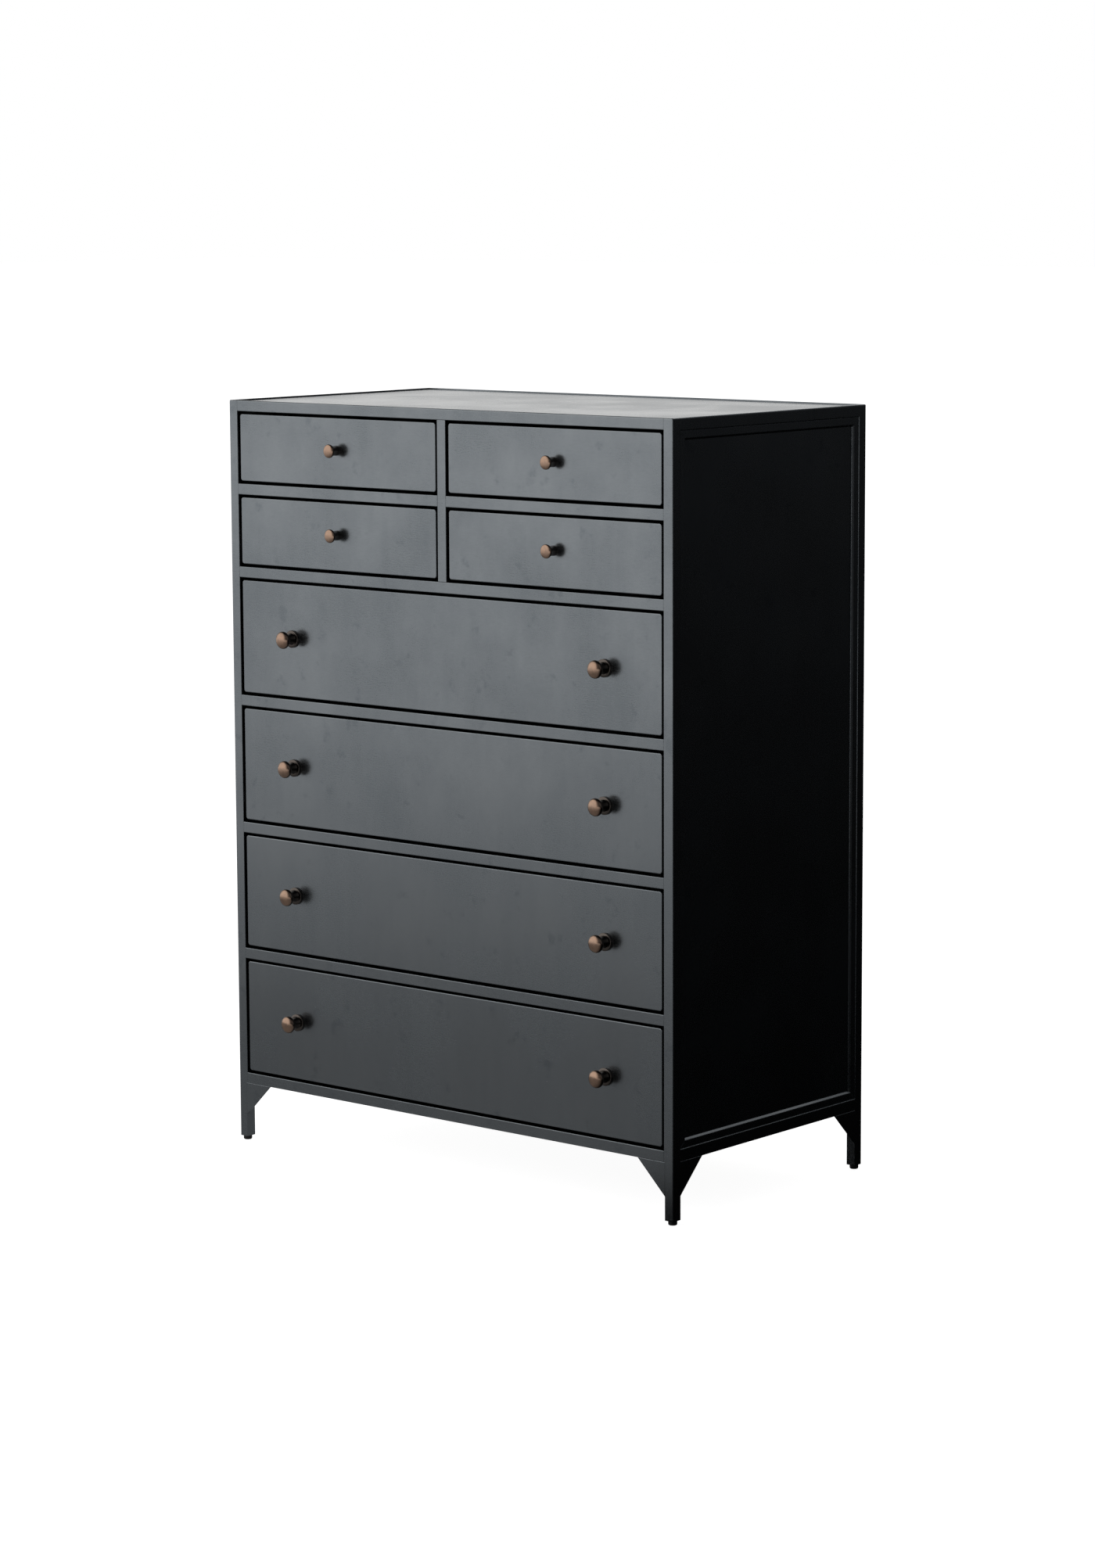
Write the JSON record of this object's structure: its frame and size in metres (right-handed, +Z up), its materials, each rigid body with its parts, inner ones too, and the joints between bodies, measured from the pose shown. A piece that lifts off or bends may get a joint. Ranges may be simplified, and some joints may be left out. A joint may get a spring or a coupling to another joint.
{
  "type": "tall chest of drawers",
  "caption": "Tall chest of drawers in blackened steel: welded angle frame on splayed-gusset legs, framed side panels, small drawers over wide drawers, round bronze knobs.",
  "frame": {"origin": "on the floor under the middle of the whole chest, knobs included", "axes": "+Z up, -Y the way the drawers open, +X to the right as one faces the drawers"},
  "size_m": [0.914, 0.5106, 1.219],
  "materials": {
    "blackened_steel": "satin lacquer over hand-blackened steel",
    "inner_steel": "matt black",
    "antique_bronze": "antique bronze, satin",
    "slide_zinc": "bright zinc",
    "black_plastic": "moulded black"
  },
  "bodies": {
    "carcass": {"front_left_post": "blackened_steel", "front_right_post": "blackened_steel", "rear_left_post": "blackened_steel", "rear_right_post": "blackened_steel", "top_front_rail": "blackened_steel", "top_rear_rail": "blackened_steel", "top_left_rail": "blackened_steel", "top_right_rail": "blackened_steel", "drawer_rail_1": "blackened_steel", "drawer_rail_2": "blackened_steel", "drawer_rail_3": "blackened_steel", "drawer_rail_4": "blackened_steel", "drawer_rail_5": "blackened_steel", "bottom_front_rail": "blackened_steel", "bottom_rear_rail": "blackened_steel", "bottom_left_rail": "blackened_steel", "bottom_right_rail": "blackened_steel", "leg_gussets": "blackened_steel", "floor_glides": "black_plastic", "top_panel": "blackened_steel", "bottom_panel": "inner_steel", "back_panel": "blackened_steel", "left_side_panel": "blackened_steel", "right_side_panel": "blackened_steel", "side_beading": "blackened_steel", "centre_divider": "blackened_steel", "slide_uprights": "inner_steel", "slide_channels": "slide_zinc"},
    "wide_drawer_1": {"wide_drawer_1_front": "blackened_steel", "wide_drawer_1_box": "inner_steel", "wide_drawer_1_slides": "slide_zinc", "wide_drawer_1_knobs": "antique_bronze"},
    "wide_drawer_2": {"wide_drawer_2_front": "blackened_steel", "wide_drawer_2_box": "inner_steel", "wide_drawer_2_slides": "slide_zinc", "wide_drawer_2_knobs": "antique_bronze"},
    "wide_drawer_3": {"wide_drawer_3_front": "blackened_steel", "wide_drawer_3_box": "inner_steel", "wide_drawer_3_slides": "slide_zinc", "wide_drawer_3_knobs": "antique_bronze"},
    "wide_drawer_4": {"wide_drawer_4_front": "blackened_steel", "wide_drawer_4_box": "inner_steel", "wide_drawer_4_slides": "slide_zinc", "wide_drawer_4_knobs": "antique_bronze"},
    "lower_left_drawer": {"lower_left_drawer_front": "blackened_steel", "lower_left_drawer_box": "inner_steel", "lower_left_drawer_slides": "slide_zinc", "lower_left_drawer_knobs": "antique_bronze"},
    "lower_right_drawer": {"lower_right_drawer_front": "blackened_steel", "lower_right_drawer_box": "inner_steel", "lower_right_drawer_slides": "slide_zinc", "lower_right_drawer_knobs": "antique_bronze"},
    "upper_left_drawer": {"upper_left_drawer_front": "blackened_steel", "upper_left_drawer_box": "inner_steel", "upper_left_drawer_slides": "slide_zinc", "upper_left_drawer_knobs": "antique_bronze"},
    "upper_right_drawer": {"upper_right_drawer_front": "blackened_steel", "upper_right_drawer_box": "inner_steel", "upper_right_drawer_slides": "slide_zinc", "upper_right_drawer_knobs": "antique_bronze"}
  },
  "joints": [
    {"name": "wide_drawer_1_slide", "type": "slide", "parent": "carcass", "child": "wide_drawer_1", "axis": [0, -1, 0], "range_m": [0, 0.3]},
    {"name": "wide_drawer_2_slide", "type": "slide", "parent": "carcass", "child": "wide_drawer_2", "axis": [0, -1, 0], "range_m": [0, 0.3]},
    {"name": "wide_drawer_3_slide", "type": "slide", "parent": "carcass", "child": "wide_drawer_3", "axis": [0, -1, 0], "range_m": [0, 0.3]},
    {"name": "wide_drawer_4_slide", "type": "slide", "parent": "carcass", "child": "wide_drawer_4", "axis": [0, -1, 0], "range_m": [0, 0.3]},
    {"name": "lower_left_drawer_slide", "type": "slide", "parent": "carcass", "child": "lower_left_drawer", "axis": [0, -1, 0], "range_m": [0, 0.3]},
    {"name": "lower_right_drawer_slide", "type": "slide", "parent": "carcass", "child": "lower_right_drawer", "axis": [0, -1, 0], "range_m": [0, 0.3]},
    {"name": "upper_left_drawer_slide", "type": "slide", "parent": "carcass", "child": "upper_left_drawer", "axis": [0, -1, 0], "range_m": [0, 0.3]},
    {"name": "upper_right_drawer_slide", "type": "slide", "parent": "carcass", "child": "upper_right_drawer", "axis": [0, -1, 0], "range_m": [0, 0.3]}
  ]
}
